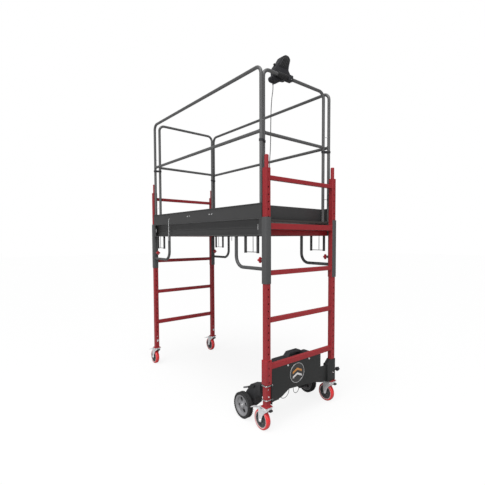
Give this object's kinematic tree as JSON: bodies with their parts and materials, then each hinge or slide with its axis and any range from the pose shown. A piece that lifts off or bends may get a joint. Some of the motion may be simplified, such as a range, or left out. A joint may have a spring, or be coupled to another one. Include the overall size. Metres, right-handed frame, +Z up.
{
  "type": "frame scaffold section",
  "caption": "Rolling scaffold section with ladder end frames, a height-adjustable guard-railed platform and a clamp-on wheel drive.",
  "frame": {"origin": "on the floor, under the middle of the whole outline", "axes": "+X along the platform towards the end with the drive unit, +Y to the right of someone who stands at the drive end and faces the scaffold, +Z up"},
  "size_m": [2.081, 0.841, 2.754],
  "materials": {
    "red_frame": "satin red powder coat",
    "red_beam": "satin red powder coat",
    "dark_frame": "satin dark grey powder coat",
    "grey_frame": "satin mid grey powder coat",
    "zinc": "bright zinc plate",
    "caster_tread": "red polyurethane on a grey core",
    "pedal": "zinc plate with a black tip",
    "red_knob": "moulded red plastic",
    "black_plate": "satin black powder coat",
    "gear_case": "black painted casting",
    "black_plastic": "moulded black plastic",
    "lever": "satin dark grey",
    "drive_tyre": "black rubber on a light grey hub",
    "cord": "black sheathed lead",
    "deck": "dark faced plywood"
  },
  "bodies": {
    "frames": {"post_drive_left": "red_frame", "post_drive_right": "red_frame", "post_far_left": "red_frame", "post_far_right": "red_frame", "coupling_pins": "red_frame", "rungs_drive_end": "red_frame", "rungs_far_end": "red_frame", "foot_flanges": "red_frame", "caster_plates": "zinc", "caster_retainers": "zinc", "drive_plate": "black_plate", "drive_fasteners": "zinc", "post_stiffener": "red_frame", "post_clamp": "black_plate", "battery_box": "black_plastic", "gearbox_left": "gear_case", "gearbox_right": "gear_case", "drive_cables": "cord"},
    "platform": {"platform_sleeves": "grey_frame", "knee_tubes": "grey_frame", "truss_left": "dark_frame", "truss_right": "dark_frame", "toe_board_left": "dark_frame", "toe_board_right": "dark_frame", "toe_boards_end": "dark_frame", "deck": "deck", "deck_end_beams": "red_beam", "rail_brackets": "dark_frame", "bracket_wires": "zinc", "guard_panel_left": "dark_frame", "guard_panel_right": "dark_frame", "guard_panel_drive_end": "dark_frame", "guard_panel_far_end": "dark_frame", "corner_clips": "black_plastic", "rail_links": "zinc", "controller_clamp": "black_plastic", "controller_body": "black_plastic", "control_cable": "cord"},
    "joystick": {"controller_joystick": "black_plastic"},
    "clamp_knob": {"clamp_knob": "black_plastic"},
    "caster_swivel_drive_left": {"caster_fork_drive_left": "zinc"},
    "caster_wheel_drive_left": {"caster_wheel_drive_left": "caster_tread"},
    "caster_pedal_drive_left": {"caster_pedal_drive_left": "pedal"},
    "lock_pin_drive_left": {"spring_pin_drive_left": "red_knob"},
    "caster_swivel_drive_right": {"caster_fork_drive_right": "zinc"},
    "caster_wheel_drive_right": {"caster_wheel_drive_right": "caster_tread"},
    "caster_pedal_drive_right": {"caster_pedal_drive_right": "pedal"},
    "lock_pin_drive_right": {"spring_pin_drive_right": "red_knob"},
    "caster_swivel_far_left": {"caster_fork_far_left": "zinc"},
    "caster_wheel_far_left": {"caster_wheel_far_left": "caster_tread"},
    "caster_pedal_far_left": {"caster_pedal_far_left": "pedal"},
    "lock_pin_far_left": {"spring_pin_far_left": "red_knob"},
    "caster_swivel_far_right": {"caster_fork_far_right": "zinc"},
    "caster_wheel_far_right": {"caster_wheel_far_right": "caster_tread"},
    "caster_pedal_far_right": {"caster_pedal_far_right": "pedal"},
    "lock_pin_far_right": {"spring_pin_far_right": "red_knob"},
    "drive_wheel_left": {"drive_wheel_left": "drive_tyre"},
    "clutch_lever_left": {"clutch_lever_left": "lever"},
    "drive_wheel_right": {"drive_wheel_right": "drive_tyre"},
    "clutch_lever_right": {"clutch_lever_right": "lever"}
  },
  "joints": [
    {"name": "platform_height", "type": "slide", "parent": "frames", "child": "platform", "axis": [0, 0, 1], "range_m": [-0.508, 0.3048], "deforming": ["control_cable"]},
    {"name": "caster_swivel_drive_left", "type": "hinge", "parent": "frames", "child": "caster_swivel_drive_left", "pos_m": [0.9865, -0.3875, 0.168], "axis": [0, 0, 1], "continuous": true},
    {"name": "caster_roll_drive_left", "type": "hinge", "parent": "caster_swivel_drive_left", "child": "caster_wheel_drive_left", "pos_m": [0.9385, -0.3875, 0.075], "axis": [0, 1, 0], "continuous": true},
    {"name": "caster_brake_drive_left", "type": "hinge", "parent": "caster_swivel_drive_left", "child": "caster_pedal_drive_left", "pos_m": [0.9205, -0.3875, 0.16], "axis": [0, 1, 0], "range_deg": [-14, 0]},
    {"name": "lock_pin_drive_left", "type": "slide", "parent": "platform", "child": "lock_pin_drive_left", "axis": [1, 0, 0], "range_m": [0, 0.014]},
    {"name": "caster_swivel_drive_right", "type": "hinge", "parent": "frames", "child": "caster_swivel_drive_right", "pos_m": [0.9865, 0.3225, 0.168], "axis": [0, 0, 1], "continuous": true},
    {"name": "caster_roll_drive_right", "type": "hinge", "parent": "caster_swivel_drive_right", "child": "caster_wheel_drive_right", "pos_m": [0.9385, 0.3225, 0.075], "axis": [0, 1, 0], "continuous": true},
    {"name": "caster_brake_drive_right", "type": "hinge", "parent": "caster_swivel_drive_right", "child": "caster_pedal_drive_right", "pos_m": [0.9205, 0.3225, 0.16], "axis": [0, 1, 0], "range_deg": [-14, 0]},
    {"name": "lock_pin_drive_right", "type": "slide", "parent": "platform", "child": "lock_pin_drive_right", "axis": [1, 0, 0], "range_m": [0, 0.014]},
    {"name": "caster_swivel_far_left", "type": "hinge", "parent": "frames", "child": "caster_swivel_far_left", "pos_m": [-0.8735, -0.3875, 0.168], "axis": [0, 0, 1], "continuous": true},
    {"name": "caster_roll_far_left", "type": "hinge", "parent": "caster_swivel_far_left", "child": "caster_wheel_far_left", "pos_m": [-0.9215, -0.3875, 0.075], "axis": [0, 1, 0], "continuous": true},
    {"name": "caster_brake_far_left", "type": "hinge", "parent": "caster_swivel_far_left", "child": "caster_pedal_far_left", "pos_m": [-0.9395, -0.3875, 0.16], "axis": [0, 1, 0], "range_deg": [-14, 0]},
    {"name": "lock_pin_far_left", "type": "slide", "parent": "platform", "child": "lock_pin_far_left", "axis": [-1, 0, 0], "range_m": [0, 0.014]},
    {"name": "caster_swivel_far_right", "type": "hinge", "parent": "frames", "child": "caster_swivel_far_right", "pos_m": [-0.8735, 0.3225, 0.168], "axis": [0, 0, 1], "continuous": true},
    {"name": "caster_roll_far_right", "type": "hinge", "parent": "caster_swivel_far_right", "child": "caster_wheel_far_right", "pos_m": [-0.9215, 0.3225, 0.075], "axis": [0, 1, 0], "continuous": true},
    {"name": "caster_brake_far_right", "type": "hinge", "parent": "caster_swivel_far_right", "child": "caster_pedal_far_right", "pos_m": [-0.9395, 0.3225, 0.16], "axis": [0, 1, 0], "range_deg": [-14, 0]},
    {"name": "lock_pin_far_right", "type": "slide", "parent": "platform", "child": "lock_pin_far_right", "axis": [-1, 0, 0], "range_m": [0, 0.014]},
    {"name": "drive_wheel_left", "type": "hinge", "parent": "frames", "child": "drive_wheel_left", "pos_m": [0.7095, -0.3875, 0.1], "axis": [0, 1, 0], "continuous": true},
    {"name": "clutch_lever_left", "type": "hinge", "parent": "frames", "child": "clutch_lever_left", "pos_m": [0.7865, -0.3445, 0.258], "axis": [0, 1, 0], "range_deg": [0, 60]},
    {"name": "drive_wheel_right", "type": "hinge", "parent": "frames", "child": "drive_wheel_right", "pos_m": [0.7095, 0.3225, 0.1], "axis": [0, 1, 0], "continuous": true},
    {"name": "clutch_lever_right", "type": "hinge", "parent": "frames", "child": "clutch_lever_right", "pos_m": [0.7865, 0.2795, 0.258], "axis": [0, 1, 0], "range_deg": [0, 60]},
    {"name": "clamp_knob_turn", "type": "hinge", "parent": "frames", "child": "clamp_knob", "pos_m": [0.9865, 0.3775, 0.264], "axis": [0, 1, 0], "range_deg": [0, 720]},
    {"name": "joystick_tilt", "type": "hinge", "parent": "platform", "child": "joystick", "pos_m": [0.8362, -0.1245, 2.686], "axis": [0, 1, 0], "range_deg": [-20, 20], "stiffness_Nm_per_rad": 0.3}
  ]
}
